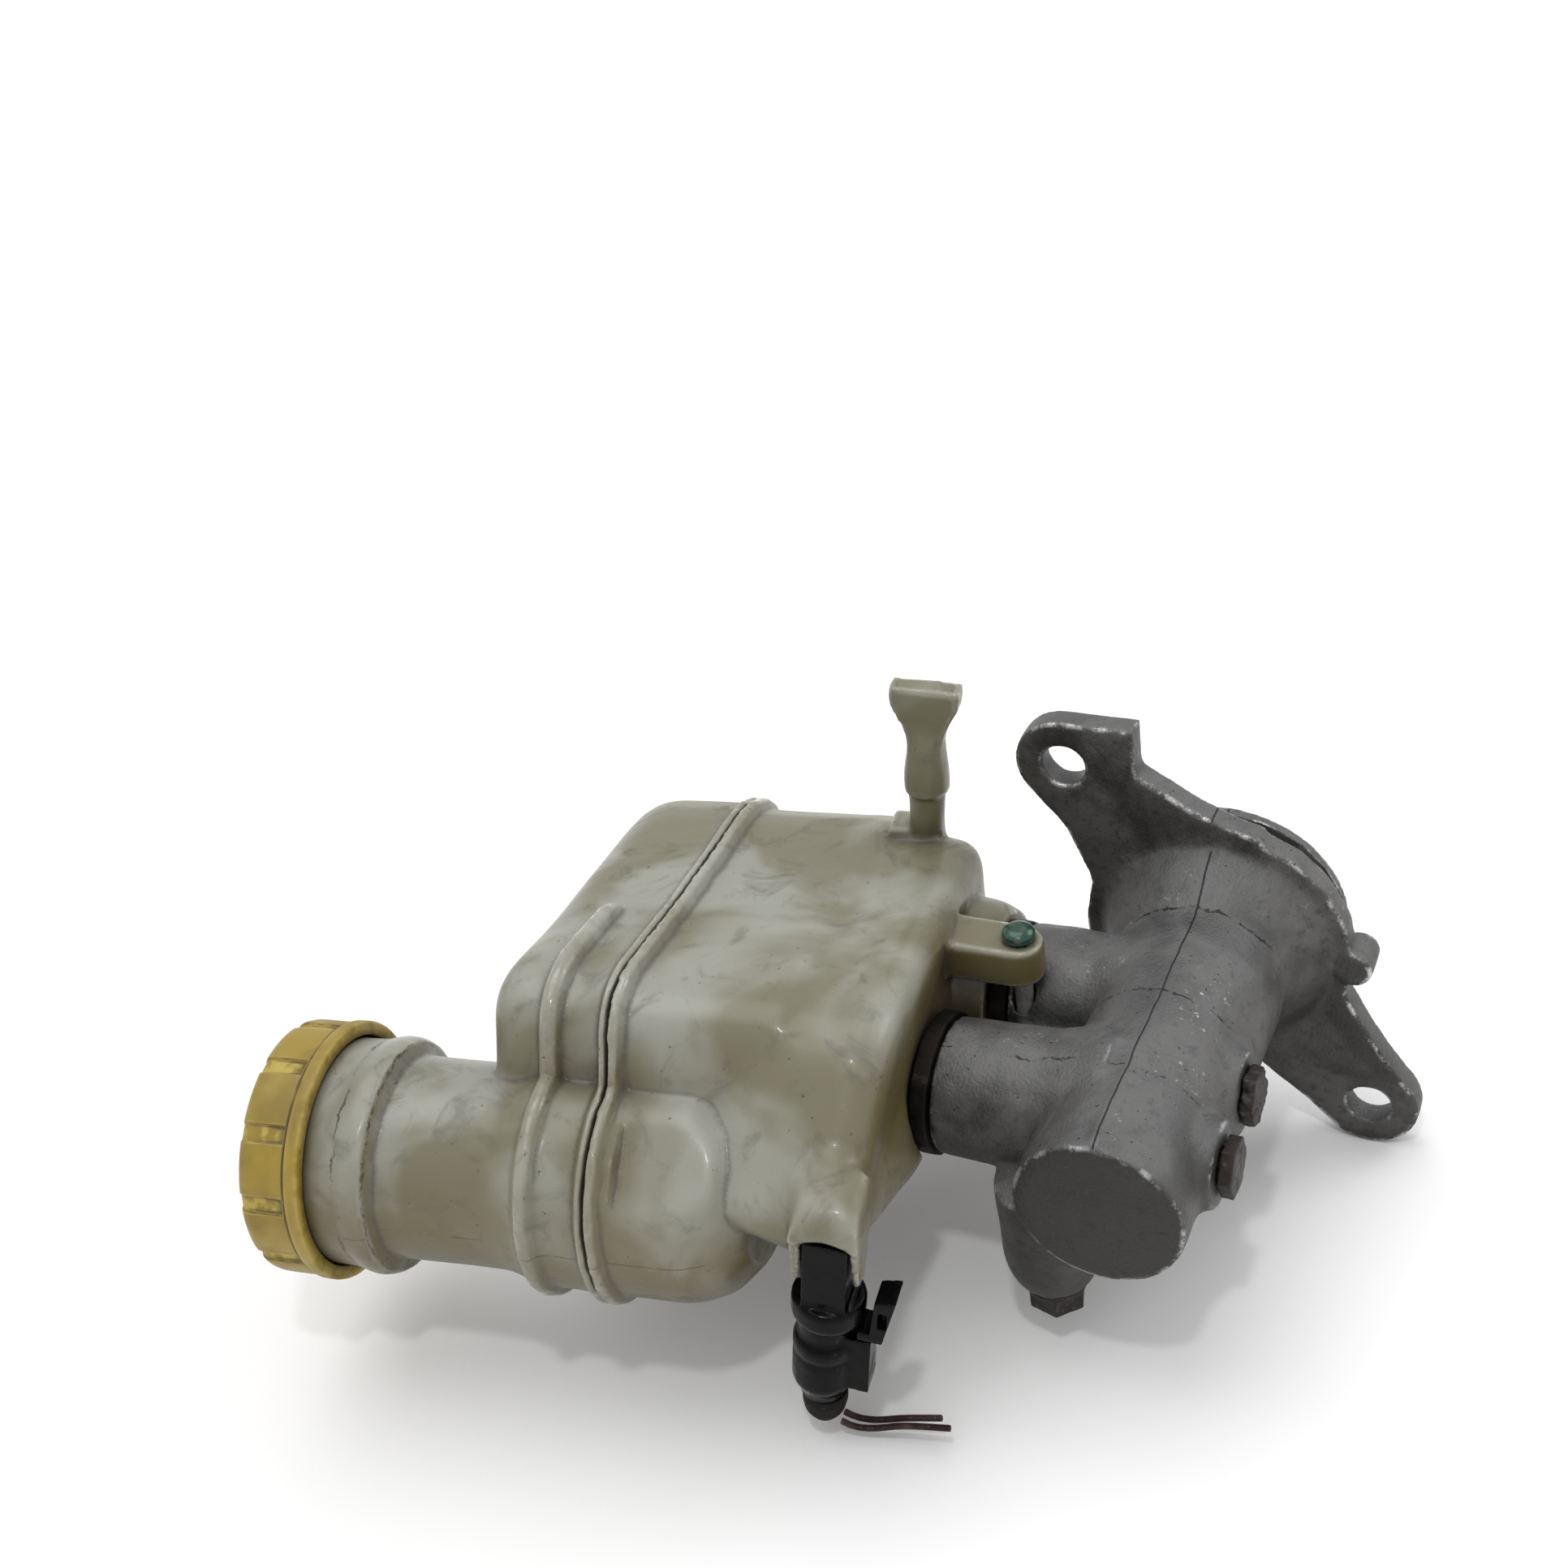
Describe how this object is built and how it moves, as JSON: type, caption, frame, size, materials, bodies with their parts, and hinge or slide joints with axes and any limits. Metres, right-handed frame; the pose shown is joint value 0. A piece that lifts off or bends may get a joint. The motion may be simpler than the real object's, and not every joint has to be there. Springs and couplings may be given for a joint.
{
  "type": "brake master cylinder",
  "caption": "Cast tandem brake master cylinder with booster flange, side-lying translucent fluid reservoir, screw filler cap and plug-in level sensor.",
  "frame": {"origin": "on the bore axis, at the flange face that bolts to the brake booster", "axes": "+X forward along the bore to the closed end, -Y towards the filler side (up when fitted in a car), +Z the left side when fitted; the object lies on its right side"},
  "size_m": [0.1431, 0.1987, 0.1041],
  "materials": {
    "cast_aluminium": "grey sand-cast and machined aluminium, dirty, edges worn bright",
    "steel": "bright machined steel",
    "dark_steel": "dark oxidised steel",
    "black_rubber": "matte black rubber",
    "tank_plastic": "aged translucent off-white moulded plastic, grimy in the corners",
    "cap_yellow": "mustard yellow moulded plastic, scuffed ribs",
    "black_plastic": "oily near-black moulded plastic",
    "green_pin": "dark green passivated steel",
    "lead_cover": "dark insulation",
    "white_plastic": "natural white plastic"
  },
  "bodies": {
    "cylinder": {"cylinder_body": "cast_aluminium", "front_grommet": "black_rubber", "rear_grommet": "black_rubber", "retaining_pin": "green_pin", "pilot_seal": "black_rubber", "snap_ring": "steel", "stop_washer": "steel", "secondary_spring": "steel", "stop_bolt": "dark_steel", "front_outlet_plug": "dark_steel", "rear_outlet_plug": "dark_steel", "reservoir_lower": "tank_plastic", "reservoir_upper": "tank_plastic", "strainer": "white_plastic", "level_sensor": "black_plastic"},
    "primary": {"primary_piston": "steel", "primary_rear_cup": "black_rubber", "primary_front_cup": "black_rubber"},
    "secondary": {"secondary_piston": "steel", "secondary_rear_cup": "black_rubber", "secondary_front_cup": "black_rubber", "primary_spring": "steel"},
    "cap_carrier": {"cap_seal": "black_rubber"},
    "cap": {"filler_cap": "cap_yellow"},
    "float": {"level_float": "white_plastic", "float_magnet": "dark_steel"},
    "plug": {"harness_plug": "black_plastic", "wire_boot": "black_rubber", "wire_brown": "lead_cover", "wire_violet": "lead_cover"},
    "latch": {"plug_latch": "black_plastic"}
  },
  "joints": [
    {"name": "primary_push", "type": "slide", "parent": "cylinder", "child": "primary", "axis": [1, 0, 0], "range_m": [0, 0.018], "deforming": ["primary_spring"]},
    {"name": "secondary_push", "type": "slide", "parent": "cylinder", "child": "secondary", "axis": [1, 0, 0], "range_m": [0, 0.0104], "deforming": ["secondary_spring"]},
    {"name": "cap_lift", "type": "slide", "parent": "cylinder", "child": "cap_carrier", "axis": [0.136, -0.9907, 0], "range_m": [0, 0.009]},
    {"name": "cap_turn", "type": "hinge", "parent": "cap_carrier", "child": "cap", "pos_m": [0.10542, -0.14196, -0.0011], "axis": [0.136, -0.9907, 0], "range_deg": [0, 900]},
    {"name": "float_travel", "type": "slide", "parent": "cylinder", "child": "float", "axis": [0.136, -0.9907, 0], "range_m": [-0.03, 0.002]},
    {"name": "plug_pull", "type": "slide", "parent": "cylinder", "child": "plug", "axis": [0.021, -0.155, -0.9877], "range_m": [0, 0.012]},
    {"name": "latch_flex", "type": "hinge", "parent": "plug", "child": "latch", "pos_m": [0.10604, -0.0371, -0.01636], "axis": [0.9907, 0.136, 0], "range_deg": [-8, 0]}
  ],
  "couplings": [
    {"joint": "secondary_push", "follows": "primary_push", "ratio": 0.57778},
    {"joint": "cap_lift", "follows": "cap_turn", "m_per_rad": 0.00057296}
  ]
}
